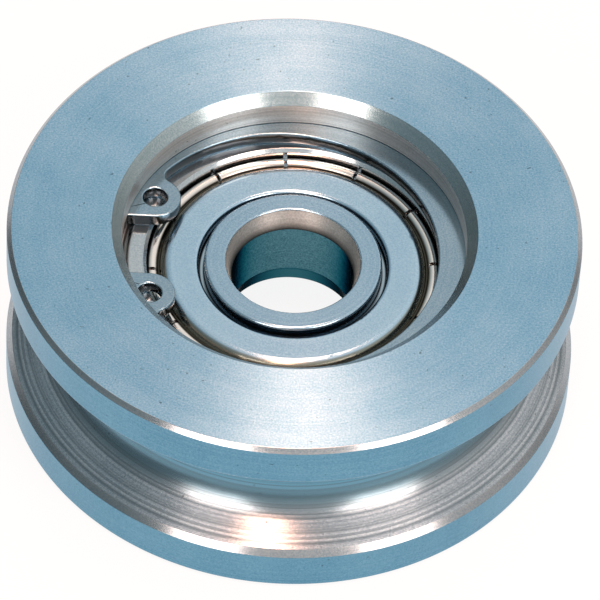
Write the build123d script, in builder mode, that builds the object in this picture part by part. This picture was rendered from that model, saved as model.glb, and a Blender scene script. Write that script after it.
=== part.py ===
from build123d import *
import os
from math import atan2, cos, radians, sin, sqrt, tan

# V groove wheel that runs on a shielded ball bearing, held in its bore by a snap ring.
# Millimetres. The origin is the wheel's centre, on the axis, half way through its width.
# +Z is the axis, and points out of the open side that takes the bearing.

# Wheel body
wheel_wall = 14.0
wheel_width = 26.0
rim_chamfer = 0.55
flange_width = 5.6
groove_edge_radial = 0.7
groove_edge_axial = 0.8
groove_angle = 60.0
groove_root_radius = 5.6
groove_least_flank = 0.5
bore_mouth_chamfer = 1.3
seat_depth = 6.15
seat_corner_radius = 0.6
shoulder_height = 2.5
shoulder_hole_chamfer = 0.8

# Ball bearing, outside sizes of the common 15 x 42 x 13 series. The balls are as large as the
# height of its section and its width allow, and the gap between the rings' lands suits the balls
bearing_bore = 15.0
bearing_diameter = 42.0
bearing_width = 13.0
outer_corner_radius = 1.0
ball_height_share = 0.588
ball_width_share = 0.611
ball_count = 7
land_gap_share = 0.605
race_ratio = 0.52
ball_running_gap = 0.02

# Inner ring
inner_step_rise = 0.95
inner_step_depth = 2.0
inner_face_round = 0.4
lead_in_length = 2.85
lead_in_rise = 0.8
lead_in_round = 0.25

# Outer ring
outer_land_width = 1.385
shield_groove_wall = 2.9
shield_groove_height = 0.55
shield_lip_undercut = 0.15
outer_ring_inner_chamfer = 0.4

# Shields, pressed from thin sheet
shield_thickness = 0.4
shield_drop = 0.63
shield_step_gap = 0.65
shield_land_gap = 0.32
shield_slope_width = 0.66
shield_trough_width = 0.2
shield_bead_radius = 0.8
shield_lip_bend = 0.5
shield_shoulder_bend = 1.5
shield_slit_count = 12
shield_slit_width = 0.5
shield_slit_length = 1.5
shield_slit_start = 5.5
shield_rim_gap = 0.05

# Riveted cage, two pressed halves that meet half way through the bearing
cage_thickness = 0.7
cage_ring_gap = 0.9
cage_pocket_gap = 0.12
rivet_shank_diameter = 1.2
rivet_head_diameter = 2.2
rivet_head_height = 0.5
rivet_head_chamfer = 0.3

# Snap ring with an eccentric inner edge, and its groove in the wheel's bore
snap_groove_depth = 1.25
snap_ring_thickness = 1.75
snap_ring_end_play = 0.05
snap_ring_band_width = 3.17
snap_ring_eccentricity = 1.3
lug_hole_diameter = 3.0
lug_hole_inset = 3.32
lug_half_angle = 24.0
lug_nose_radius = 3.15
lug_root_fillet = 1.2
snap_ring_gap_direction = 180.6

# Fits
press_gap = 0.01
snap_ring_gap = 0.03
rivet_gap = 0.02

# Sizes that follow from the ones above
half_width = wheel_width / 2
bearing_radius = bearing_diameter / 2
bore_radius = bearing_bore / 2
wheel_radius = bearing_radius + wheel_wall
half_bearing = bearing_width / 2
bearing_face = half_width - seat_depth
bearing_middle = bearing_face - half_bearing
pitch_radius = (bore_radius + bearing_radius) / 2
section_height = bearing_radius - bore_radius
ball_diameter = min(ball_height_share * section_height, ball_width_share * bearing_width)
ball_radius = ball_diameter / 2
race_radius = race_ratio * ball_diameter
half_land_gap = land_gap_share * ball_radius
inner_race_centre = pitch_radius - ball_radius - ball_running_gap + race_radius
outer_race_centre = pitch_radius + ball_radius + ball_running_gap - race_radius
cage_pocket_radius = ball_radius + cage_pocket_gap
ball_pitch = 360 / ball_count

bearing_plane = Plane.XY.offset(bearing_middle)
bearing_section = Plane(origin=(0, 0, bearing_middle), x_dir=(1, 0, 0), z_dir=(0, -1, 0))

os.makedirs("parts", exist_ok=True)


# Wheel body: a turned blank, with the groove, the stepped bore and the snap ring's groove cut in
groove_half_angle = radians(groove_angle / 2)
flank_top_radius = wheel_radius - groove_edge_radial
flank_top_height = half_width - flange_width - groove_edge_axial
groove_apex_radius = flank_top_radius - flank_top_height / tan(groove_half_angle)
# The rounding of the root is limited by the flanks, which keep a short straight stretch
widest_root = (flank_top_height - groove_least_flank) / cos(groove_half_angle)
root_radius = min(groove_root_radius, widest_root)
root_centre_radius = groove_apex_radius + root_radius / sin(groove_half_angle)
root_bottom_radius = root_centre_radius - root_radius
root_end_radius = root_centre_radius - root_radius * sin(groove_half_angle)
root_end_height = root_radius * cos(groove_half_angle)
seat_radius = bearing_radius + press_gap
shoulder_hole_radius = bearing_radius - shoulder_height
snap_groove_radius = bearing_radius + snap_groove_depth

with BuildPart() as wheel_body:
    with BuildSketch(Plane.XY.offset(-half_width)):
        Circle(wheel_radius)
    extrude(amount=wheel_width)
    with BuildSketch(Plane.XZ):
        with BuildLine():
            groove_edge = (wheel_radius, half_width - flange_width)
            flank_top = (flank_top_radius, flank_top_height)
            root_end = (root_end_radius, root_end_height)
            Polyline(groove_edge, flank_top, root_end)
            mirror(about=Plane.XZ)
            ThreePointArc(root_end, (root_bottom_radius, 0), (root_end_radius, -root_end_height))
            Line(groove_edge, (wheel_radius, flange_width - half_width))
        make_face()
    revolve(axis=Axis.Z, mode=Mode.SUBTRACT)
    with Locations((0, 0, half_width)):
        CounterBoreHole(
            radius=shoulder_hole_radius,
            counter_bore_radius=seat_radius,
            counter_bore_depth=seat_depth + bearing_width,
        )
    with BuildSketch(Plane.XY.offset(bearing_face - snap_ring_end_play)):
        Circle(snap_groove_radius)
    extrude(amount=snap_ring_thickness + 2 * snap_ring_end_play, mode=Mode.SUBTRACT)
    top_edges = wheel_body.faces().sort_by(Axis.Z)[-1].edges().sort_by(SortBy.RADIUS)
    bottom_edges = wheel_body.faces().sort_by(Axis.Z)[0].edges().sort_by(SortBy.RADIUS)
    chamfer([top_edges[-1], bottom_edges[-1]], length=rim_chamfer)
    chamfer(top_edges[0], length=bore_mouth_chamfer)
    chamfer(bottom_edges[0], length=shoulder_hole_chamfer)
    seat_bottom = bearing_face - bearing_width
    shoulder_edges = wheel_body.edges().filter_by_position(
        Axis.Z, seat_bottom - press_gap, seat_bottom + press_gap
    )
    fillet(shoulder_edges.sort_by(SortBy.RADIUS)[-1], radius=seat_corner_radius)
wheel_body.part.label = "wheel_body"


def race_edge(land_radius, race_centre):
    """Height above the bearing's middle at which a ball race meets its land."""
    return sqrt(race_radius**2 - (land_radius - race_centre) ** 2)


# Outer ring: half of its section is drawn and mirrored, then turned about the axis
outer_land_radius = pitch_radius + half_land_gap
shield_groove_radius = bearing_radius - shield_groove_wall
shield_lip_radius = shield_groove_radius - shield_lip_undercut
outer_race_edge = race_edge(outer_land_radius, outer_race_centre)
ledge_height = outer_race_edge + outer_land_width

with BuildPart() as outer_ring:
    with BuildSketch(bearing_section):
        with BuildLine():
            Polyline(
                (bearing_radius, 0),
                (bearing_radius, half_bearing),
                (shield_lip_radius + outer_ring_inner_chamfer, half_bearing),
                (shield_lip_radius, half_bearing - outer_ring_inner_chamfer),
                (shield_lip_radius, ledge_height + shield_groove_height),
                (shield_groove_radius, ledge_height + shield_groove_height),
                (shield_groove_radius, ledge_height),
                (outer_land_radius, ledge_height),
                (outer_land_radius, outer_race_edge),
            )
            mirror(about=Plane.XZ)
            ThreePointArc(
                (outer_land_radius, outer_race_edge),
                (outer_race_centre + race_radius, 0),
                (outer_land_radius, -outer_race_edge),
            )
        make_face()
    revolve(axis=Axis.Z)
    rim_edges = outer_ring.edges().filter_by(GeomType.CIRCLE).sort_by(SortBy.RADIUS)[-3:]
    rim_edges = rim_edges.sort_by(Axis.Z)
    fillet([rim_edges[0], rim_edges[-1]], radius=outer_corner_radius)
outer_ring.part.label = "outer_ring"

# Inner ring: a tapered lead-in opens each end of the bore, and a step beside each face clears the
# turned-down lip of the shield
inner_land_radius = pitch_radius - half_land_gap
inner_step_radius = inner_land_radius - inner_step_rise
inner_step_height = half_bearing - inner_step_depth
inner_race_edge = race_edge(inner_land_radius, inner_race_centre)

with BuildPart() as inner_ring:
    with BuildSketch(bearing_section):
        with BuildLine():
            face_inner = (bore_radius + lead_in_rise, half_bearing)
            face_outer = (inner_step_radius, half_bearing)
            Polyline(
                (bore_radius, 0),
                (bore_radius, half_bearing - lead_in_length),
                face_inner,
                face_outer,
                (inner_step_radius, inner_step_height),
                (inner_land_radius, inner_step_height),
                (inner_land_radius, inner_race_edge),
            )
            mirror(about=Plane.XZ)
            ThreePointArc(
                (inner_land_radius, inner_race_edge),
                (inner_race_centre - race_radius, 0),
                (inner_land_radius, -inner_race_edge),
            )
        make_face()
    revolve(axis=Axis.Z)
    end_faces = inner_ring.faces().filter_by(Plane.XY).sort_by(Axis.Z)
    for end_face in (end_faces[0], end_faces[-1]):
        face_edges = end_face.edges().sort_by(SortBy.RADIUS)
        fillet(face_edges[-1], radius=inner_face_round)
        fillet(face_edges[0], radius=lead_in_round)
inner_ring.part.label = "inner_ring"

# Shields: a flat ring with a lip turned down beside the inner ring, a slope to a trough that lies
# on the outer ring's ledge, and a curled bead that snaps under the ledge's lip through its slits
shield_face = half_bearing - shield_drop
shield_under = shield_face - shield_thickness
lip_radius = inner_step_radius + shield_step_gap
lip_bottom = inner_step_height + shield_land_gap
bead_centre_radius = shield_groove_radius - shield_rim_gap - shield_bead_radius
bead_start = bead_centre_radius - sqrt(shield_bead_radius**2 - shield_thickness**2)
trough_radius = bead_start - shield_trough_width
flat_radius = trough_radius - shield_slope_width
trough_face = ledge_height + shield_thickness
slope_angle = atan2(shield_face - trough_face, trough_radius - flat_radius)
slope_miter = shield_thickness * tan(slope_angle / 2)
bead_inside_radius = shield_bead_radius - shield_thickness

with BuildPart() as upper_shield:
    with BuildSketch(bearing_section) as shield_profile:
        with BuildLine():
            Polyline(
                (bead_centre_radius - bead_inside_radius, ledge_height),
                (trough_radius - slope_miter, ledge_height),
                (flat_radius - slope_miter, shield_under),
                (lip_radius + shield_thickness, shield_under),
                (lip_radius + shield_thickness, lip_bottom),
                (lip_radius, lip_bottom),
                (lip_radius, shield_face),
                (flat_radius, shield_face),
                (trough_radius, trough_face),
                (bead_start, trough_face),
            )
            ThreePointArc(
                (bead_start, trough_face),
                (bead_centre_radius, ledge_height + shield_bead_radius),
                (bead_centre_radius + shield_bead_radius, ledge_height),
            )
            Line(
                (bead_centre_radius + shield_bead_radius, ledge_height),
                (bead_centre_radius + bead_inside_radius, ledge_height),
            )
            ThreePointArc(
                (bead_centre_radius + bead_inside_radius, ledge_height),
                (bead_centre_radius, ledge_height + bead_inside_radius),
                (bead_centre_radius - bead_inside_radius, ledge_height),
            )
        make_face()
        bends = (
            (lip_radius, shield_face, shield_lip_bend),
            (lip_radius + shield_thickness, shield_under, shield_lip_bend - shield_thickness),
            (flat_radius, shield_face, shield_shoulder_bend),
            (flat_radius - slope_miter, shield_under, shield_shoulder_bend - shield_thickness),
        )
        for bend_radius, bend_height, rounding in bends:
            bend_corner = shield_profile.vertices().sort_by_distance(Vertex(bend_radius, bend_height))[0]
            fillet(bend_corner, radius=rounding)
    revolve(axis=Axis.Z)
    bead_outer_radius = bead_centre_radius + shield_bead_radius
    with BuildSketch(bearing_plane.offset(ledge_height)):
        with PolarLocations(bead_outer_radius, shield_slit_count, start_angle=shield_slit_start):
            Rectangle(2 * shield_slit_length, shield_slit_width)
    extrude(amount=shield_bead_radius, mode=Mode.SUBTRACT)
upper_shield.part.label = "upper_shield"

with BuildPart() as lower_shield:
    mirror(upper_shield.part, about=bearing_plane)
lower_shield.part.label = "lower_shield"

# Cage: each half is a flat ring pressed up into a cup over every ball
cup_radius = cage_pocket_radius + cage_thickness
cage_inner_radius = inner_land_radius + cage_ring_gap
cage_outer_radius = outer_land_radius - cage_ring_gap

with BuildPart() as cage_upper:
    with BuildSketch(bearing_plane):
        Circle(cage_outer_radius)
    extrude(amount=cage_thickness)
    with Locations(bearing_plane):
        with PolarLocations(pitch_radius, ball_count):
            Sphere(cup_radius, arc_size1=0, align=(Align.CENTER, Align.CENTER, Align.MIN))
    with BuildSketch(bearing_plane):
        Circle(cage_outer_radius)
        Circle(cage_inner_radius, mode=Mode.SUBTRACT)
    extrude(amount=cup_radius, mode=Mode.INTERSECT)
    with Locations(bearing_plane):
        with PolarLocations(pitch_radius, ball_count):
            Sphere(cage_pocket_radius, mode=Mode.SUBTRACT)
        with PolarLocations(pitch_radius, ball_count, start_angle=ball_pitch / 2):
            Hole(radius=rivet_shank_diameter / 2 + rivet_gap)
cage_upper.part.label = "cage_upper"

with BuildPart() as cage_lower:
    mirror(cage_upper.part, about=bearing_plane)
cage_lower.part.label = "cage_lower"

# Rivets: a shank through both halves, with a low chamfered head on each side
with BuildPart() as rivet:
    with BuildSketch(bearing_plane):
        Circle(rivet_shank_diameter / 2)
    extrude(amount=cage_thickness)
    with BuildSketch(bearing_plane.offset(cage_thickness)):
        Circle(rivet_head_diameter / 2)
    extrude(amount=rivet_head_height)
    chamfer(rivet.edges().group_by(Axis.Z)[-1], length=rivet_head_chamfer)
    mirror(about=bearing_plane)

with BuildPart() as cage_rivets:
    with PolarLocations(pitch_radius, ball_count, start_angle=ball_pitch / 2):
        add(rivet.part)
cage_rivets.part.label = "cage_rivets"

# Balls
balls = []
for ball_number in range(ball_count):
    ball_angle = radians(ball_number * ball_pitch)
    with BuildPart() as ball:
        with Locations((pitch_radius * cos(ball_angle), pitch_radius * sin(ball_angle), bearing_middle)):
            Sphere(ball_radius)
    ball.part.label = f"ball_{ball_number + 1}"
    balls.append(ball)

# Snap ring: the band narrows towards its two lugs, which stand either side of the gap. It is
# drawn with the gap towards +X, on a plane that turns it to its place
snap_radius = snap_groove_radius - snap_ring_gap
lug_hole_radius = snap_radius - lug_hole_inset
lug_x = lug_hole_radius * cos(radians(lug_half_angle))
lug_y = lug_hole_radius * sin(radians(lug_half_angle))
snap_plane = Plane.XY.offset(bearing_face).rotated((0, 0, snap_ring_gap_direction))

with BuildPart() as snap_ring:
    with BuildSketch(snap_plane) as snap_outline:
        Circle(snap_radius)
        with Locations((snap_ring_eccentricity, 0)):
            Circle(snap_radius - snap_ring_band_width, mode=Mode.SUBTRACT)
        with Locations((lug_x, lug_y), (lug_x, -lug_y)):
            Circle(lug_nose_radius)
            Rectangle(snap_radius, 2 * lug_nose_radius, align=(Align.MIN, Align.CENTER))
        Circle(snap_radius, mode=Mode.INTERSECT)
        Rectangle(
            wheel_radius, 2 * (lug_y - lug_nose_radius), align=(Align.MIN, Align.CENTER), mode=Mode.SUBTRACT
        )
        for side in (1, -1):
            lug_root = (lug_x - lug_nose_radius, side * (lug_y + 2 * lug_nose_radius))
            root_corner = snap_outline.vertices().sort_by_distance(Vertex(*lug_root))[0]
            fillet(root_corner, radius=lug_root_fillet)
        with Locations((lug_x, lug_y), (lug_x, -lug_y)):
            Circle(lug_hole_diameter / 2, mode=Mode.SUBTRACT)
    extrude(amount=snap_ring_thickness)
snap_ring.part.label = "snap_ring"

pieces = [
    wheel_body, snap_ring, outer_ring, inner_ring, upper_shield, lower_shield,
    cage_upper, cage_lower, cage_rivets, *balls,
]
for piece in pieces:
    export_step(piece.part, f"parts/{piece.part.label}.step")
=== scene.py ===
# %% [markdown]
# # A grooved steel wheel on a shielded ball bearing
#
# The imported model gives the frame: every piece at its real size, in metres, with its joints. This
# lesson dresses it. The wheel and the two bearing rings are made again here as fine lathe meshes,
# because a machinist's tiny broken edges catch the light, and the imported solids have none. The
# shields, the snap ring, the cage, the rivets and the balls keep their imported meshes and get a
# finish.

# %% Load the frame
from math import acos, atan2, cos, pi, radians, sin, tan

import bpy
from mathutils import Matrix, Vector


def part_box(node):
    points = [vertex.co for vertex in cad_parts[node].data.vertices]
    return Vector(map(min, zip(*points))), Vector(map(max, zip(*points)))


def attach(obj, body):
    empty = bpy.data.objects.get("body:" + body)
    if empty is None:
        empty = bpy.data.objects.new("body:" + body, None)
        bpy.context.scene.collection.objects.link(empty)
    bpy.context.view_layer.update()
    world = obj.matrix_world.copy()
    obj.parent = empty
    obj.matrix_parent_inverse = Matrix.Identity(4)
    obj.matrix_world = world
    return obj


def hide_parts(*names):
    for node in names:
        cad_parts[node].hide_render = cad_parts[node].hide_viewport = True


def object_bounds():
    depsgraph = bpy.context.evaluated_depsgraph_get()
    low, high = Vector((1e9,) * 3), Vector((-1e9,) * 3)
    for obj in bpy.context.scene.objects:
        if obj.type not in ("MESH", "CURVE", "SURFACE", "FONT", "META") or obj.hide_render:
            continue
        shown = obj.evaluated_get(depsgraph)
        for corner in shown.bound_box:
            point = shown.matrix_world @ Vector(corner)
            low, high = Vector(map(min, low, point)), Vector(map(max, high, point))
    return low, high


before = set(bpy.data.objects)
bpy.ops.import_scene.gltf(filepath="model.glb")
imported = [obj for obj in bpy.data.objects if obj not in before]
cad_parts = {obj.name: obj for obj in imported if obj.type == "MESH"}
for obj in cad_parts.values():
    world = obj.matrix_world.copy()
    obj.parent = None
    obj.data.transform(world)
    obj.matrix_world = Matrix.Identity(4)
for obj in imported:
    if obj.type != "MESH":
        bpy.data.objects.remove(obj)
cad_box = [list(corner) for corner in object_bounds()]
print("size in mm:", [round((hi - lo) * 1000, 2) for lo, hi in zip(*cad_box)])

# %% [markdown]
# ## Sizes
#
# A drawing for a turned part is a half section: a list of corners, each with a radius from the
# axis, a height and an edge radius. All sizes here are millimetres, as on such a drawing, and one
# factor turns them to metres when a mesh is made. Heights of bearing pieces are measured from the
# bearing's own middle, which is read from the frame.

# %% Read the main heights from the frame
MM = 0.001


def box_mm(node):
    """A node's lowest and highest corner in millimetres."""
    low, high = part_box(node)
    return [value / MM for value in low], [value / MM for value in high]


wheel_high = box_mm("wheel_body")[1]
ring_low, ring_high = box_mm("inner_ring")
snap_top = box_mm("snap_ring")[1][2]
wheel_radius = wheel_high[0]
half_width = wheel_high[2]
bearing_middle = (ring_low[2] + ring_high[2]) / 2
half_bearing = (ring_high[2] - ring_low[2]) / 2
print("wheel radius", round(wheel_radius, 3), "half width", half_width)
print("bearing middle", round(bearing_middle, 3), "half bearing", half_bearing)

# %% [markdown]
# ## Outlines with rounded corners
#
# A corner is rounded by a tangent arc, as a tool tip or a deburring file leaves it. The function
# also keeps the true normal at each point, so the finished mesh shades like the real surface and
# not like its facets.

# %% Turn corners into a smooth outline
ARC_STEP = radians(12)
FEWEST_ARC_STEPS = 2


def rounded_outline(corners):
    """Points (r, z), their outward normals and zone numbers, for corners (r, z, radius, zone)."""
    points, normals, zones = [], [], []
    count = len(corners)
    for index, (r, z, radius, zone) in enumerate(corners):
        here = Vector((r, z))
        before = (here - Vector(corners[index - 1][:2])).normalized()
        after = (Vector(corners[(index + 1) % count][:2]) - here).normalized()
        turn = atan2(before.x * after.y - before.y * after.x, before.dot(after))
        reach = radius * tan(abs(turn) / 2)
        start = here - before * reach
        side = 1 if turn > 0 else -1
        centre = start + Vector((-before.y, before.x)) * radius * side
        steps = max(FEWEST_ARC_STEPS, round(abs(turn) / ARC_STEP))
        for step in range(steps + 1):
            spin = turn * step / steps
            direction = Vector((
                before.x * cos(spin) - before.y * sin(spin),
                before.x * sin(spin) + before.y * cos(spin),
            ))
            normal = Vector((direction.y, -direction.x))
            points.append(centre + normal * radius * side)
            normals.append(normal)
            zones.append(zone if step == steps else corners[index - 1][3])
    return points, normals, zones


washer = [(2, 0, 0.1, 0), (2, 1, 0.1, 0), (1, 1, 0.1, 0), (1, 0, 0.1, 0)]
print("a washer's 4 corners become", len(rounded_outline(washer)[0]), "points")

# %% [markdown]
# ## Spinning an outline
#
# The outline runs anticlockwise round the metal, so its right-hand side is air. Each point
# becomes a ring of vertices, and each stretch between two points a band of faces, which keeps its
# zone as a material slot. The last point joins the first, so the mesh is closed.

# %% Spin an outline into a mesh
RING_COLUMNS = 288


def spun_piece(name, corners, materials, middle=0.0, columns=RING_COLUMNS):
    """A closed lathe mesh from corners in millimetres, lifted to middle."""
    points, normals, zones = rounded_outline(corners)
    count = len(points)
    angles = [2 * pi * column / columns for column in range(columns)]
    vertices = [
        (p.x * cos(angle) * MM, p.x * sin(angle) * MM, (p.y + middle) * MM)
        for angle in angles
        for p in points
    ]
    faces = []
    for column in range(columns):
        here, there = column * count, (column + 1) % columns * count
        for index in range(count):
            after = (index + 1) % count
            faces.append((here + index, there + index, there + after, here + after))
    mesh = bpy.data.meshes.new(name)
    mesh.from_pydata(vertices, [], faces)
    for material in materials:
        mesh.materials.append(material)
    mesh.polygons.foreach_set("material_index", zones * columns)
    mesh.shade_smooth()
    loop_normals = []
    for polygon in mesh.polygons:
        for vertex in polygon.vertices:
            normal, angle = normals[vertex % count], angles[vertex // count]
            loop_normals.append((normal.x * cos(angle), normal.x * sin(angle), normal.y))
    mesh.normals_split_custom_set(loop_normals)
    piece = bpy.data.objects.new(name, mesh)
    bpy.context.scene.collection.objects.link(piece)
    print(name, "has", len(mesh.polygons), "faces")
    return piece


print("a column of faces is", round(2 * pi * wheel_radius / RING_COLUMNS, 2), "mm wide at the rim")

# %% [markdown]
# ## Colours and nodes
#
# Colours are written as sRGB hex values, as a colour card gives them, and Blender works in linear
# light. One small function adds a node with its settings and its links, so a finish reads as a
# short list of steps. A Mix node keeps a set of sockets for each kind of value, and its colour
# sockets are reached by number.

# %% Colour and node helpers
MIX_UNDER, MIX_OVER, MIX_RESULT = 6, 7, 2


def linear(hex_colour):
    """A linear RGBA tuple from an sRGB hex string."""
    channels = [int(hex_colour[place:place + 2], 16) / 255 for place in (1, 3, 5)]
    return (*(c / 12.92 if c <= 0.04045 else ((c + 0.055) / 1.055) ** 2.4 for c in channels), 1.0)


def add_node(tree, kind, settings, inputs):
    """Adds a node, sets its properties, and sets or links each named input."""
    node = tree.nodes.new(kind)
    for key, value in settings.items():
        setattr(node, key, value)
    for key, value in inputs.items():
        if isinstance(value, bpy.types.NodeSocket):
            tree.links.new(value, node.inputs[key])
        else:
            node.inputs[key].default_value = value
    return node


print("sRGB #808080 is", round(linear("#808080")[0], 3), "in linear light")

# %% [markdown]
# ## Where a point lies on a round piece
#
# A lathe or a ring grinder turns the work past a tool, so a mark runs the whole way round. It
# depends on two numbers only: how far the point is from the axis, and how high it lies. The
# patterns below are drawn on that flat section and come out as rings.

# %% Radius and section of a point
def axis_place(tree):
    """Sockets for a point's place, its radius from the Z axis, and its (radius, height)."""
    place = add_node(tree, "ShaderNodeTexCoord", {}, {}).outputs["Object"]
    apart = add_node(tree, "ShaderNodeSeparateXYZ", {}, {"Vector": place})
    flat = add_node(
        tree, "ShaderNodeCombineXYZ", {}, {"X": apart.outputs["X"], "Y": apart.outputs["Y"]}
    )
    length = add_node(
        tree, "ShaderNodeVectorMath", {"operation": "LENGTH"}, {0: flat.outputs["Vector"]}
    )
    radius = length.outputs["Value"]
    section = add_node(
        tree, "ShaderNodeCombineXYZ", {}, {"X": radius, "Y": apart.outputs["Z"]}
    )
    return place, radius, section.outputs["Vector"]


# %% [markdown]
# ## The steel's own colour
#
# Bright steel is never one colour. Its ring marks, a fine grain and wide soft patches make it
# swing between a deeper and a paler tone. The real marks are under 0.1 mm apart; they are drawn
# at about 0.3 mm so that they show.

# %% Marks, grain and patches
MARK_SPACING = 0.3
GRAIN_SIZE = 0.22
PATCH_SIZE = 9.0
PATCH_SHARE = 0.4
TONE_SWING = 0.25


def steel_tone(tree, place, marks, colour, pale, mark_share):
    """The colour socket of steel that swings from colour to pale."""
    grain = add_node(
        tree, "ShaderNodeTexNoise", {},
        {"Vector": place, "Scale": 1 / (GRAIN_SIZE * MM), "Detail": 2.0, "Roughness": 0.6},
    )
    patches = add_node(
        tree, "ShaderNodeTexNoise", {},
        {"Vector": place, "Scale": 1 / (PATCH_SIZE * MM), "Detail": 3.0, "Roughness": 0.55},
    )
    mixture = add_node(
        tree, "ShaderNodeMath", {"operation": "MULTIPLY_ADD"},
        {0: patches.outputs["Fac"], 1: PATCH_SHARE, 2: grain.outputs["Fac"]},
    )
    mixture = add_node(
        tree, "ShaderNodeMath", {"operation": "MULTIPLY_ADD"},
        {0: marks, 1: mark_share, 2: mixture.outputs["Value"]},
    )
    middle = (1 + PATCH_SHARE + mark_share) / 2
    share = add_node(
        tree, "ShaderNodeMapRange", {},
        {
            "Value": mixture.outputs["Value"],
            "From Min": middle - TONE_SWING, "From Max": middle + TONE_SWING,
        },
    )
    tone = add_node(
        tree, "ShaderNodeMix", {"data_type": "RGBA"},
        {"Factor": share.outputs["Result"], MIX_UNDER: linear(colour), MIX_OVER: linear(pale)},
    )
    return tone.outputs[MIX_RESULT]


print("marks every", MARK_SPACING, "mm, grain", GRAIN_SIZE, "mm, patches", PATCH_SIZE, "mm")

# %% [markdown]
# ## Walls that a punch tore, with painted shade
#
# A punch shears only part of the sheet and tears the rest, so the upright walls of a stamped
# piece stay duller than its faces. Their darker colour is also painted shade, for the shade that
# falls in holes and gaps. The height of the surface's normal tells the two apart.

# %% Dull walls with painted shade
WALL_NORMAL, FACE_NORMAL = 0.1, 0.35


def over_walls(tree, tint, torn_wall_and_shade_colour):
    """The tint, with a darker colour over the upright walls: duller torn metal and painted shade.
    """
    normal = add_node(tree, "ShaderNodeNewGeometry", {}, {}).outputs["Normal"]
    facing = add_node(tree, "ShaderNodeSeparateXYZ", {}, {"Vector": normal})
    upright = add_node(
        tree, "ShaderNodeMath", {"operation": "ABSOLUTE"}, {0: facing.outputs["Z"]}
    )
    is_wall = add_node(
        tree, "ShaderNodeMapRange", {},
        {
            "Value": upright.outputs["Value"], "From Min": WALL_NORMAL, "From Max": FACE_NORMAL,
            "To Min": 1.0, "To Max": 0.0,
        },
    )
    covered = add_node(
        tree, "ShaderNodeMix", {"data_type": "RGBA"},
        {"Factor": is_wall.outputs["Result"], MIX_UNDER: tint, MIX_OVER: linear(torn_wall_and_shade_colour)},
    )
    return covered.outputs[MIX_RESULT]


print("walls lean up to", round(90 - acos(WALL_NORMAL) * 180 / pi, 1), "degrees from upright")

# %% [markdown]
# ## Bands of painted shade and painted light
#
# Some marks lie at one radius all the way round: painted shade in a crease, a gap and a groove's
# root, and a painted highlight on a shield's bead. Each band is a stop on a colour ramp that runs
# out from the axis, with its radius in millimetres, its colour, and how much of the steel it
# covers.

# %% Bands at given radii
BAND_REACH = 40.0


def over_bands(tree, tint, radius, bands):
    """The tint, with bands (radius in mm, colour, cover) over it."""
    place_in_bands = add_node(
        tree, "ShaderNodeMath", {"operation": "DIVIDE"}, {0: radius, 1: BAND_REACH * MM}
    )
    ramp = add_node(tree, "ShaderNodeValToRGB", {}, {"Fac": place_in_bands.outputs["Value"]})
    stops = ramp.color_ramp.elements
    while len(stops) < len(bands):
        stops.new(1.0)
    for stop, (band_radius, band_colour, cover) in zip(stops, bands):
        stop.position = band_radius / BAND_REACH
        stop.color = (*linear(band_colour)[:3], cover)
    covered = add_node(
        tree, "ShaderNodeMix", {"data_type": "RGBA"},
        {
            "Factor": ramp.outputs["Alpha"], MIX_UNDER: tint,
            MIX_OVER: ramp.outputs["Color"],
        },
    )
    return covered.outputs[MIX_RESULT]


print("bands reach out to", BAND_REACH, "mm")

# %% [markdown]
# ## Lines where the tool chattered
#
# A wide form tool shakes as it cuts, and leaves a few darker rings at uneven distances. Only the
# peaks of a noise on the section are kept, so most of the surface stays clean.

# %% Tool lines
LINE_START, LINE_FULL = 0.5, 0.72
LINE_COVER = 0.7


def over_lines(tree, tint, section, line_colour, line_spacing):
    """The tint, with darker rings over it."""
    lines = add_node(
        tree, "ShaderNodeTexNoise", {"noise_dimensions": "2D"},
        {
            "Vector": section, "Scale": 1 / (line_spacing * MM), "Detail": 4.0,
            "Roughness": 0.7,
        },
    )
    line_share = add_node(
        tree, "ShaderNodeMapRange", {},
        {
            "Value": lines.outputs["Fac"], "From Min": LINE_START, "From Max": LINE_FULL,
            "To Max": LINE_COVER,
        },
    )
    covered = add_node(
        tree, "ShaderNodeMix", {"data_type": "RGBA"},
        {"Factor": line_share.outputs["Result"], MIX_UNDER: tint, MIX_OVER: linear(line_colour)},
    )
    return covered.outputs[MIX_RESULT]


print("a line hides up to", LINE_COVER, "of the steel")

# %% [markdown]
# ## Pits and specks
#
# Cut steel that has lain about carries a few pits and specks of dirt. Only the highest peaks of a
# fine noise are kept, so they stay small, dark and few.

# %% Pits
PIT_SPACING = 0.6
PIT_START, PIT_FULL = 0.745, 0.8
PIT_COVER = 0.7


def over_pits(tree, tint, place, pit_colour):
    """The tint, with small dark specks over it."""
    pits = add_node(
        tree, "ShaderNodeTexNoise", {},
        {"Vector": place, "Scale": 1 / (PIT_SPACING * MM), "Detail": 1.0},
    )
    pit_share = add_node(
        tree, "ShaderNodeMapRange", {},
        {
            "Value": pits.outputs["Fac"], "From Min": PIT_START, "From Max": PIT_FULL,
            "To Max": PIT_COVER,
        },
    )
    covered = add_node(
        tree, "ShaderNodeMix", {"data_type": "RGBA"},
        {"Factor": pit_share.outputs["Result"], MIX_UNDER: tint, MIX_OVER: linear(pit_colour)},
    )
    return covered.outputs[MIX_RESULT]


print("pits come from a noise of", PIT_SPACING, "mm")

# %% [markdown]
# ## Steel that was worked round an axis
#
# Fine ring marks smear every reflection across themselves, so a lamp shows as a radial streak and
# not as a spot. Anisotropy, with a tangent that runs round the axis, gives that smear: a quarter
# turn sets it across the marks. A very shallow bump keeps the few marks that the eye can still
# make out. Steel turns white at a glancing angle; a dark edge colour keeps a wall dark there,
# which is painted shade.

# %% Round steel
QUARTER_TURN = 0.25
DULLNESS_SWING = 0.2


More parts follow.
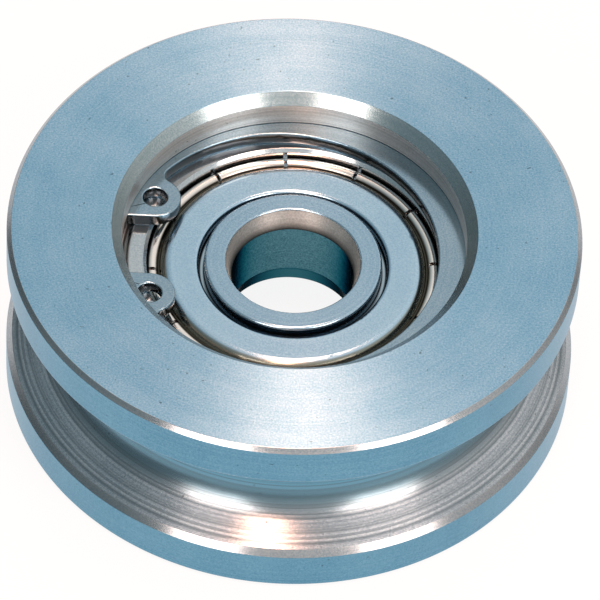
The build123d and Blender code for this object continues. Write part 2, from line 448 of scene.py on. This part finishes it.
def round_steel(
    name, colour, pale, roughness, anisotropy, mark_depth, mark_share=0.4,
    mark_spacing=MARK_SPACING, line_colour=None, line_spacing=1.0, bands=None, torn_wall_and_shade_colour=None,
    pit_colour=None, edge_colour="#FFFFFF",
):
    """Steel with marks round the Z axis. Depths and spacings are millimetres."""
    material = bpy.data.materials.new(name)
    material.use_nodes = True
    tree = material.node_tree
    tree.nodes.clear()
    place, radius, section = axis_place(tree)
    marks = add_node(
        tree, "ShaderNodeTexNoise", {"noise_dimensions": "2D"},
        {
            "Vector": section, "Scale": 1 / (mark_spacing * MM), "Detail": 3.0,
            "Roughness": 0.65,
        },
    ).outputs["Fac"]
    tint = steel_tone(tree, place, marks, colour, pale, mark_share)
    if torn_wall_and_shade_colour:
        tint = over_walls(tree, tint, torn_wall_and_shade_colour)
    if bands:
        tint = over_bands(tree, tint, radius, bands)
    if line_colour:
        tint = over_lines(tree, tint, section, line_colour, line_spacing)
    if pit_colour:
        tint = over_pits(tree, tint, place, pit_colour)
    dullness = add_node(
        tree, "ShaderNodeMapRange", {},
        {
            "Value": marks, "To Min": roughness * (1 - DULLNESS_SWING),
            "To Max": roughness * (1 + DULLNESS_SWING),
        },
    )
    bump = add_node(
        tree, "ShaderNodeBump", {},
        {"Strength": 1.0, "Distance": mark_depth * MM, "Height": marks},
    )
    tangent = add_node(tree, "ShaderNodeTangent", {"direction_type": "RADIAL", "axis": "Z"}, {})
    shader = add_node(
        tree, "ShaderNodeBsdfPrincipled", {},
        {
            "Base Color": tint, "Metallic": 1.0, "Roughness": dullness.outputs["Result"],
            "Anisotropic": anisotropy, "Anisotropic Rotation": QUARTER_TURN,
            "Specular Tint": linear(edge_colour), "Normal": bump.outputs["Normal"],
            "Tangent": tangent.outputs["Tangent"],
        },
    )
    add_node(tree, "ShaderNodeOutputMaterial", {}, {"Surface": shader.outputs["BSDF"]})
    print(name, "has", len(tree.nodes), "nodes")
    return material


# %% [markdown]
# ## The wheel's finishes
#
# One piece of steel, but each cut leaves its own surface. The facing cut over the top is fine and
# pale blue-grey. The upright rims are painted a deeper blue, which is painted shade. The edges were
# broken with a chamfer tool, which burnishes them.

# %% Finishes of the faces, rims and edges
faced_steel = round_steel(
    "faced_steel", "#6FA4C3", "#AACBE0", roughness=0.3, anisotropy=0.78, mark_depth=0.0015,
    mark_share=0.2, pit_colour="#4A6470",
)
# The rims' deeper blue is painted shade on the wheel's upright sides.
rim_steel_painted_shade = round_steel(
    "rim_steel_painted_shade", "#568AA5", "#76A5BC", roughness=0.3, anisotropy=0.6, mark_depth=0.002,
    pit_colour="#3F5C68",
)
edge_steel = round_steel(
    "burnished_edge_steel", "#94A0A8", "#B7B9BC", roughness=0.2, anisotropy=0.5,
    mark_depth=0.001,
)

# %% [markdown]
# The groove was cut with a form tool. Its flanks are warm grey with dark lines, and its root is
# painted a deeper grey-blue, which is painted shade in the hollow. The bore was bored with a
# coarser feed, and is a dull grey with brownish lines.

# %% Finishes of the groove and the bore
groove_steel = round_steel(
    "form_cut_groove_steel", "#909BA4", "#C2C7CD", roughness=0.24, anisotropy=0.7,
    mark_depth=0.005, mark_share=0.9, mark_spacing=0.4, line_colour="#56646A", line_spacing=0.6,
    pit_colour="#3C4344",
    # Painted shade: the bands make the groove's root a deeper grey-blue.
    bands=[(28.4, "#669AB1", 1.0), (29.8, "#7F949F", 1.0), (31.4, "#868C90", 0.0)],
)
mouth_steel = round_steel(
    "bore_mouth_steel", "#8FA5AC", "#B0BEC3", roughness=0.24, anisotropy=0.5, mark_depth=0.002
)
bored_steel = round_steel(
    "bored_steel", "#C4C0BC", "#E0DCD8", roughness=0.4, anisotropy=0.6, mark_depth=0.003,
    mark_share=0.8, mark_spacing=0.3, line_colour="#84807A", line_spacing=1.1,
    pit_colour="#55504C",
)

# %% [markdown]
# ## The wheel body
#
# The wheel is one turned piece. Its corners are listed anticlockwise from the outside of the lower
# flange. Each corner names the finish of the stretch that follows it. The groove is a 60 degree V
# with a round root, and its two straight flanks would meet at the apex.

# %% Sizes of the wheel body
RIM_CHAMFER = 0.55
FLANGE_WIDTH = 5.6
GROOVE_EDGE_RADIAL = 0.7
GROOVE_EDGE_AXIAL = 0.8
GROOVE_HALF_ANGLE = radians(30)
GROOVE_ROOT_RADIUS = 5.6
MOUTH_CHAMFER = 1.3
SEAT_RADIUS = 21.01
SNAP_GROOVE_RADIUS = 22.25
SNAP_PLAY = 0.05
SEAT_CORNER = 0.6
SHOULDER_RADIUS = 18.5
SHOULDER_CHAMFER = 0.8
BROKEN_EDGE = 0.08
WHEEL_COLUMNS = 360

flank_radius = wheel_radius - GROOVE_EDGE_RADIAL
flank_height = half_width - FLANGE_WIDTH - GROOVE_EDGE_AXIAL
apex_radius = flank_radius - flank_height / tan(GROOVE_HALF_ANGLE)
bearing_top = bearing_middle + half_bearing
bearing_bottom = bearing_middle - half_bearing
print("the flanks would meet", round(apex_radius, 2), "mm from the axis")

# %% Wheel body
FACE, RIM, EDGE, GROOVE, MOUTH, BORE = range(6)
wheel_corners = [
    (wheel_radius, -half_width + RIM_CHAMFER, BROKEN_EDGE, RIM),
    (wheel_radius, -half_width + FLANGE_WIDTH, BROKEN_EDGE, EDGE),
    (flank_radius, -flank_height, BROKEN_EDGE, GROOVE),
    (apex_radius, 0, GROOVE_ROOT_RADIUS, GROOVE),
    (flank_radius, flank_height, BROKEN_EDGE, EDGE),
    (wheel_radius, half_width - FLANGE_WIDTH, BROKEN_EDGE, RIM),
    (wheel_radius, half_width - RIM_CHAMFER, BROKEN_EDGE, EDGE),
    (wheel_radius - RIM_CHAMFER, half_width, BROKEN_EDGE, FACE),
    (SEAT_RADIUS + MOUTH_CHAMFER, half_width, BROKEN_EDGE, MOUTH),
    (SEAT_RADIUS, half_width - MOUTH_CHAMFER, BROKEN_EDGE, BORE),
    (SEAT_RADIUS, snap_top + SNAP_PLAY, BROKEN_EDGE, BORE),
    (SNAP_GROOVE_RADIUS, snap_top + SNAP_PLAY, BROKEN_EDGE, BORE),
    (SNAP_GROOVE_RADIUS, bearing_top - SNAP_PLAY, BROKEN_EDGE, BORE),
    (SEAT_RADIUS, bearing_top - SNAP_PLAY, BROKEN_EDGE, BORE),
    (SEAT_RADIUS, bearing_bottom, SEAT_CORNER, BORE),
    (SHOULDER_RADIUS, bearing_bottom, BROKEN_EDGE, BORE),
    (SHOULDER_RADIUS, -half_width + SHOULDER_CHAMFER, BROKEN_EDGE, MOUTH),
    (SHOULDER_RADIUS + SHOULDER_CHAMFER, -half_width, BROKEN_EDGE, FACE),
    (wheel_radius - RIM_CHAMFER, -half_width, BROKEN_EDGE, EDGE),
]
wheel_finishes = [
    faced_steel, rim_steel_painted_shade, edge_steel, groove_steel, mouth_steel, bored_steel,
]
wheel = spun_piece("turned_wheel", wheel_corners, wheel_finishes, columns=WHEEL_COLUMNS)
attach(wheel, "wheel")
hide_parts("wheel_body")

# %% [markdown]
# ## The bearing rings' finishes
#
# Both rings are hardened bearing steel, ground and then polished, so they are smoother than the
# wheel. The gap round the inner ring is painted shade: the ring's outer wall and the step at its
# foot are painted nearly black, but for one lighter line. The tapered lead-in of the bore is
# bright, and a band of painted shade darkens it where it meets the bore. The bore itself is
# honed and painted a dark blue-teal, which is painted shade, and a dark edge colour keeps it from
# showing white at a glancing angle.

# %% Finishes of the rings
ring_steel = round_steel(
    "ground_ring_steel", "#89ABC2", "#A9C4D6", roughness=0.18, anisotropy=0.3,
    mark_depth=0.001,
    # Painted shade: nearly black bands in the gap round the ring, with one lighter line between.
    bands=[
        (10.86, "#1C2022", 0.0), (10.89, "#1C2022", 1.0), (11.0, "#1C2022", 1.0),
        (11.08, "#9DB3C0", 1.0), (11.3, "#9DB3C0", 1.0), (11.38, "#1C2022", 1.0),
        (12.5, "#1C2022", 1.0),
    ],
)
outer_ring_steel = round_steel(
    "ground_outer_ring_steel", "#A2B2BC", "#C4CCD0", roughness=0.14, anisotropy=0.2,
    mark_depth=0.001,
)
lead_in_steel = round_steel(
    "ground_lead_in_steel", "#BEC0BE", "#ECEDEB", roughness=0.42, anisotropy=0.8,
    mark_depth=0.002,
    # Painted shade: a dark band where the lead-in meets the bore.
    bands=[(7.55, "#22282A", 1.0), (7.62, "#3A3D3D", 0.8), (7.9, "#8E8983", 0.0)],
)
# Painted shade: the dark blue-teal and the dark edge colour stand in for the shade in the bore.
honed_steel_painted_shade = round_steel(
    "honed_bore_painted_shade", "#355F6B", "#5A8590", roughness=0.22, anisotropy=0.4, mark_depth=0.002,
    edge_colour="#3C3E40",
    bands=[(7.52, "#587F89", 0.0), (7.58, "#587F89", 1.0), (8.6, "#587F89", 1.0)],
)

# %% [markdown]
# ## Races and mirrored sections
#
# A ball runs in a race a little wider than itself: its arc is 1.04 times the ball's. The shape of
# the races is kept, although the shields hide them. A ring is the same above and below its
# middle, so only the upper half of its section is listed.

# %% Races and mirrored sections
RACE_RADIUS = 4.12776
OUTER_RACE_CENTRE = 14.11124
INNER_RACE_CENTRE = 14.38876
RACE_STEP = radians(6)
RACE_CORNER = 0.01


def race(land_radius, centre_radius, side, zone):
    """Corners along a ball race, from its lower edge to its upper one, or back for side -1."""
    edge = acos((land_radius - centre_radius) / RACE_RADIUS * side)
    steps = round(2 * edge / RACE_STEP)
    return [
        (
            centre_radius + side * RACE_RADIUS * cos(edge * (2 * step / steps - 1)),
            RACE_RADIUS * sin(edge * (2 * step / steps - 1)),
            RACE_CORNER, zone,
        )
        for step in range(steps + 1)
    ]


def with_mirror(half):
    """A half section's corners, followed by their mirror images below the middle."""
    below = []
    for index in range(len(half) - 1, -1, -1):
        r, z, radius, zone = half[index]
        below.append((r, -z, radius, half[index - 1][3] if index else zone))
    return half + below


print("the races are", round(OUTER_RACE_CENTRE + RACE_RADIUS, 3), "mm and",
      round(INNER_RACE_CENTRE - RACE_RADIUS, 3), "mm from the axis")

# %% [markdown]
# ## The outer ring
#
# Its outer corners are well rounded, so that it goes into the wheel without scraping. On the
# inside each end has a lip with a groove behind it, where the shield's bead snaps in, and a ledge
# below that. The race lies between the two lands.

# %% Outer ring
OUTER_RADIUS = 21.0
OUTER_CORNER = 1.0
SHIELD_LIP_RADIUS = 17.95
SHIELD_GROOVE_RADIUS = 18.1
RING_CHAMFER = 0.4
LIP_DEPTH = 1.311
LEDGE_DEPTH = 1.861
OUTER_LAND_RADIUS = 16.6512

ledge = half_bearing - LEDGE_DEPTH
outer_half = [
    (OUTER_RADIUS, half_bearing, OUTER_CORNER, 0),
    (SHIELD_LIP_RADIUS + RING_CHAMFER, half_bearing, BROKEN_EDGE, 0),
    (SHIELD_LIP_RADIUS, half_bearing - RING_CHAMFER, BROKEN_EDGE, 0),
    (SHIELD_LIP_RADIUS, half_bearing - LIP_DEPTH, BROKEN_EDGE / 2, 0),
    (SHIELD_GROOVE_RADIUS, half_bearing - LIP_DEPTH, BROKEN_EDGE / 2, 0),
    (SHIELD_GROOVE_RADIUS, ledge, BROKEN_EDGE, 0),
    (OUTER_LAND_RADIUS, ledge, BROKEN_EDGE, 0),
]
outer_corners = with_mirror(outer_half)
outer_race = race(OUTER_LAND_RADIUS, OUTER_RACE_CENTRE, 1, 0)
outer_corners[len(outer_half):len(outer_half)] = outer_race[::-1]
outer_ring = spun_piece("ground_outer_ring", outer_corners, [outer_ring_steel], bearing_middle)
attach(outer_ring, "wheel")
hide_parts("outer_ring")

# %% [markdown]
# ## The inner ring
#
# Each end steps down from the bore's rounded lead-in to a low land, which leaves the narrow gap
# under the shield. The upper lead-in is ground bright. The lower one gets the bore's dark
# blue-teal, which is painted shade.

# %% Inner ring
BORE_RADIUS = 7.5
LEAD_IN_LENGTH = 2.85
LEAD_IN_RISE = 0.8
LEAD_IN_ROUND = 0.25
FACE_ROUND = 0.4
INNER_STEP_RADIUS = 10.8988
INNER_STEP_DEPTH = 2.0
INNER_LAND_RADIUS = 11.8488

RING, LEAD_IN, HONED = range(3)
inner_half = [
    (INNER_LAND_RADIUS, half_bearing - INNER_STEP_DEPTH, BROKEN_EDGE, RING),
    (INNER_STEP_RADIUS, half_bearing - INNER_STEP_DEPTH, BROKEN_EDGE, RING),
    (INNER_STEP_RADIUS, half_bearing, FACE_ROUND, RING),
    (BORE_RADIUS + LEAD_IN_RISE, half_bearing, LEAD_IN_ROUND, LEAD_IN),
    (BORE_RADIUS, half_bearing - LEAD_IN_LENGTH, BROKEN_EDGE, HONED),
]
inner_corners = with_mirror(inner_half)
lower_lead_in = len(inner_half)
# The lower lead-in takes the bore's painted shade.
inner_corners[lower_lead_in] = (*inner_corners[lower_lead_in][:3], HONED)
inner_corners += race(INNER_LAND_RADIUS, INNER_RACE_CENTRE, -1, RING)
ring_finishes = [ring_steel, lead_in_steel, honed_steel_painted_shade]
inner_ring = spun_piece("ground_inner_ring", inner_corners, ring_finishes, bearing_middle)
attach(inner_ring, "hub")
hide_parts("inner_ring")

# %% [markdown]
# ## The shields
#
# A shield is pressed from bright cold-rolled strip. Its flat ring keeps the pale blue shine of the
# strip, and the curled bead at its edge is painted near-white cream, which is a painted highlight.
# The slope and the crease between the two, and a ring outside the bead, are painted dark, which is
# painted shade.

# %% Finish of the shields
shield_steel = round_steel(
    "bright_shield_strip", "#97BAD2", "#B3D0E2", roughness=0.2, anisotropy=0.4,
    mark_depth=0.001, mark_share=0.2,
    # Painted shade on the slope, in the crease and outside the bead; a painted highlight on the
    # bead.
    bands=[
        (15.45, "#6B716F", 0.0), (15.65, "#7F8276", 0.9), (16.25, "#6C6E62", 1.0),
        (16.45, "#22221F", 1.0), (16.64, "#22221F", 1.0), (16.78, "#E4E2DE", 1.0),
        (17.5, "#EEECE8", 1.0), (17.64, "#2B2A27", 1.0),
    ],
)


def finish_node(node, material):
    """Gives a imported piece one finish, in its own material slot."""
    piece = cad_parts[node]
    piece.material_slots[0].material = material
    return piece


for node in ("upper_shield", "lower_shield"):
    print(finish_node(node, shield_steel).name, "is", shield_steel.name)

# %% [markdown]
# ## The snap ring
#
# A snap ring is stamped from spring steel strip and then tumbled in a barrel with stones, which
# rounds its edges and leaves a satin skin with fine dents. The walls that the punch tore are
# duller, and they are painted darker still, as painted shade in the holes and gaps. The rounding
# is a bevel of 0.2 mm, which keeps the ring's size. Packed faces don't share their corners, so
# they are joined first.

# %% Snap ring
TUMBLED_EDGE = 0.2
TUMBLED_STEPS = 3
SHARP_FROM = radians(40)
WELD_REACH = 0.001
# The dark wall colour is partly duller torn metal and partly painted shade in the holes and gaps.
spring_steel = round_steel(
    "tumbled_spring_steel", "#7698AC", "#9FB5C2", roughness=0.18, anisotropy=0.3,
    mark_depth=0.001, mark_share=0.2, torn_wall_and_shade_colour="#4F5458",
)
snap_ring = finish_node("snap_ring", spring_steel)
joined = snap_ring.modifiers.new("joined_faces", "WELD")
joined.merge_threshold = WELD_REACH * MM
rounding = snap_ring.modifiers.new("tumbled_edges", "BEVEL")
rounding.width = TUMBLED_EDGE * MM
rounding.segments = TUMBLED_STEPS
rounding.limit_method = "ANGLE"
rounding.angle_limit = SHARP_FROM
rounding.harden_normals = True
print("snap ring edges rounded by", TUMBLED_EDGE, "mm")

# %% [markdown]
# ## Cage, rivets and balls
#
# These sit behind the shields and show only when the bearing is opened. The cage is pressed from
# dull mild steel strip, its rivets are cold headed, and the balls are lapped to a mirror.

# %% Hidden bearing pieces
cage_steel = round_steel(
    "pressed_cage_steel", "#8C8F90", "#A9ABAA", roughness=0.36, anisotropy=0.2,
    mark_depth=0.002,
)
rivet_steel = round_steel(
    "headed_rivet_steel", "#7F8385", "#9B9E9F", roughness=0.34, anisotropy=0.2,
    mark_depth=0.001,
)
ball_steel = round_steel(
    "lapped_ball_steel", "#C3C7CA", "#D3D6D8", roughness=0.06, anisotropy=0.0,
    mark_depth=0.0002,
)
for node in ("cage_upper", "cage_lower"):
    finish_node(node, cage_steel)
finish_node("cage_rivets", rivet_steel)
balls = [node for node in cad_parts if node.startswith("ball_")]
for node in balls:
    finish_node(node, ball_steel)
print("balls finished:", len(balls))

# %% [markdown]
# ## The camera
#
# The photograph was taken from far off with a long lens, a little less than 50 degrees above the
# table, and the camera was tilted by about 3 degrees. Its distance, height and tilt were worked out
# from the ellipses of the rim, the bore and the bearing. The camera looks along one line and is
# moved sideways until the centre of the wheel's upper face falls on its pixel.

# %% Camera
ELEVATION = radians(49.75)
ROLL = radians(3.27)
DISTANCE_IN_RADII = 22.0
PIXELS_PER_RADIUS = 288.2
FACE_CENTRE_PIXEL = (295.08, 227.5)
FRAME_PIXELS = 600
SENSOR_MM = 36.0

radius_m = wheel_radius * MM
level_right = Vector((1, 0, 0))
level_up = Vector((0, sin(ELEVATION), cos(ELEVATION)))
back = Vector((0, -cos(ELEVATION), sin(ELEVATION)))
right = level_right * cos(ROLL) + level_up * sin(ROLL)
up = level_up * cos(ROLL) - level_right * sin(ROLL)
offset_right = (FRAME_PIXELS / 2 - FACE_CENTRE_PIXEL[0]) / PIXELS_PER_RADIUS * radius_m
offset_up = (FACE_CENTRE_PIXEL[1] - FRAME_PIXELS / 2) / PIXELS_PER_RADIUS * radius_m
eye = (
    Vector((0, 0, half_width * MM))
    + back * DISTANCE_IN_RADII * radius_m
    + right * offset_right
    + up * offset_up
)
lens = bpy.data.cameras.new("photo_camera")
lens.sensor_width = SENSOR_MM
lens.lens = PIXELS_PER_RADIUS * DISTANCE_IN_RADII * SENSOR_MM / FRAME_PIXELS
camera = bpy.data.objects.new("photo_camera", lens)
camera.matrix_world = Matrix.Translation(eye) @ Matrix((right, up, back)).transposed().to_4x4()
bpy.context.scene.collection.objects.link(camera)
bpy.context.scene.camera = camera
print("lens", round(lens.lens, 1), "mm, distance", round(eye.length, 3), "m")

# %% [markdown]
# ## The floor
#
# The photograph's background is pure white. The floor is white paper that also glows for the
# camera and for mirror rays, so the metal shows the same white table that the camera sees. A
# share of plain paper stays in it, and that share keeps the wheel's soft shadow. The paper lies a
# hair below the wheel, so that the two flat faces don't lie in one plane.

# %% Floor
FLOOR_SIZE = 3.0
FLOOR_GAP = 0.05
corner = FLOOR_SIZE / 2
floor_height = cad_box[0][2] - FLOOR_GAP * MM
floor_mesh = bpy.data.meshes.new("floor")
floor_mesh.from_pydata(
    [
        (-corner, -corner, floor_height), (corner, -corner, floor_height),
        (corner, corner, floor_height), (-corner, corner, floor_height),
    ],
    [], [(0, 1, 2, 3)],
)
floor = bpy.data.objects.new("floor", floor_mesh)
bpy.context.scene.collection.objects.link(floor)
print("floor at", round(floor_height / MM, 2), "mm")

# %% White paper
PAPER_COLOUR = "#F2F2F2"
GLOW_COLOUR = "#FFFFFF"
GLOW_SHARE = 0.88
paper = bpy.data.materials.new("white_paper")
paper.use_nodes = True
paper_tree = paper.node_tree
paper_tree.nodes.clear()
plain_paper = add_node(paper_tree, "ShaderNodeBsdfDiffuse", {}, {"Color": linear(PAPER_COLOUR)})
glow = add_node(
    paper_tree, "ShaderNodeEmission", {}, {"Color": linear(GLOW_COLOUR), "Strength": 1.0}
)
ray = add_node(paper_tree, "ShaderNodeLightPath", {}, {})
seen = add_node(
    paper_tree, "ShaderNodeMath", {"operation": "MAXIMUM"},
    {0: ray.outputs["Is Camera Ray"], 1: ray.outputs["Is Glossy Ray"]},
)
seen = add_node(
    paper_tree, "ShaderNodeMath", {"operation": "MAXIMUM"},
    {0: seen.outputs["Value"], 1: ray.outputs["Is Transmission Ray"]},
)
glow_share = add_node(
    paper_tree, "ShaderNodeMath", {"operation": "MULTIPLY"},
    {0: seen.outputs["Value"], 1: GLOW_SHARE},
)
paper_mix = add_node(
    paper_tree, "ShaderNodeMixShader", {},
    {
        0: glow_share.outputs["Value"], 1: plain_paper.outputs["BSDF"],
        2: glow.outputs["Emission"],
    },
)
add_node(paper_tree, "ShaderNodeOutputMaterial", {}, {"Surface": paper_mix.outputs["Shader"]})
floor_mesh.materials.append(paper)
print("paper glows by", GLOW_SHARE, "for the camera and for mirrors")

# %% [markdown]
# ## The room
#
# Metal shows what stands round it, so the light is built as a product photographer would. The
# room is pale. It is darker and cooler towards its left, and darker towards its horizon, because
# the photograph's metal is darker where it mirrors those places.

# %% Room
ROOM_LEVEL = 0.95
DARK_SIDE = 0.5
DARK_HORIZON = 0.32
COOL_SIDE, WARM_SIDE = "#C6DADF", "#FFFAF5"
LEFT_END, LEFT_START = -0.9, 0.25
HORIZON_END, HORIZON_START = -0.05, 0.6

room = bpy.data.worlds.new("room")
room.use_nodes = True
room_tree = room.node_tree
background = room_tree.nodes["Background"]
direction = add_node(room_tree, "ShaderNodeTexCoord", {}, {}).outputs["Generated"]
sides = add_node(room_tree, "ShaderNodeSeparateXYZ", {}, {"Vector": direction})
side_level = add_node(
    room_tree, "ShaderNodeMapRange", {"interpolation_type": "SMOOTHSTEP"},
    {"Value": sides.outputs["X"], "From Min": LEFT_END, "From Max": LEFT_START},
)
side_colour = add_node(
    room_tree, "ShaderNodeMix", {"data_type": "RGBA"},
    {
        "Factor": side_level.outputs["Result"], MIX_UNDER: linear(COOL_SIDE),
        MIX_OVER: linear(WARM_SIDE),
    },
)
side_strength = add_node(
    room_tree, "ShaderNodeMapRange", {},
    {"Value": side_level.outputs["Result"], "To Min": DARK_SIDE},
)
height_level = add_node(
    room_tree, "ShaderNodeMapRange", {"interpolation_type": "SMOOTHSTEP"},
    {
        "Value": sides.outputs["Z"], "From Min": HORIZON_END, "From Max": HORIZON_START,
        "To Min": DARK_HORIZON, "To Max": ROOM_LEVEL,
    },
)
level = add_node(
    room_tree, "ShaderNodeMath", {"operation": "MULTIPLY"},
    {0: side_strength.outputs["Result"], 1: height_level.outputs["Result"]},
)
room_tree.links.new(side_colour.outputs[MIX_RESULT], background.inputs["Color"])
room_tree.links.new(level.outputs["Value"], background.inputs["Strength"])
bpy.context.scene.world = room
print("room level from", round(ROOM_LEVEL * DARK_SIDE, 3), "on the left to", ROOM_LEVEL)

# %% [markdown]
# ## The lamps
#
# Two upright soft boxes stand in front, left and right of the camera: they are the white blocks
# on the chamfers and in the groove. A long strip hangs overhead, from the camera's side to the
# back, and draws the white streak across the top face. The lamps are a little warm, so that their
# reflections in the blue-grey steel come out white. A lamp's power is the light that it sends
# from each piece of its surface, times pi, times its area.

# %% Lamps
BOX_COLOUR = "#FFE4D7"
STRIP_COLOUR = "#FFBA9A"


def soft_box(name, azimuth, elevation, width, height, radiance, colour):
    """A rectangular soft box one metre from the wheel. Azimuth 0 is the camera's side."""
    light = bpy.data.lights.new(name, "AREA")
    light.shape = "RECTANGLE"
    light.size, light.size_y = width, height
    light.energy = radiance * pi * width * height
    light.color = linear(colour)[:3]
    lamp = bpy.data.objects.new(name, light)
    a, e = radians(azimuth), radians(elevation)
    lamp.location = (sin(a) * cos(e), -cos(a) * cos(e), sin(e))
    lamp.rotation_euler = lamp.location.to_track_quat("Z", "Y").to_euler()
    bpy.context.scene.collection.objects.link(lamp)
    print(name, "gives", round(light.energy, 2), "W")


soft_box(
    "front_left_box", azimuth=-25.5, elevation=38.8, width=0.37, height=0.5, radiance=6.5,
    colour=BOX_COLOUR,
)
soft_box(
    "front_right_box", azimuth=43, elevation=36, width=0.41, height=0.5, radiance=6.5,
    colour=BOX_COLOUR,
)
soft_box(
    "overhead_strip", azimuth=-7, elevation=89, width=0.15, height=1.02, radiance=16.5,
    colour=STRIP_COLOUR,
)

# %% [markdown]
# ## Close the lesson
#
# The view transform is plain, so a colour in the file is a colour in the picture.

# %% Finish
bpy.context.scene.view_settings.view_transform = "Standard"
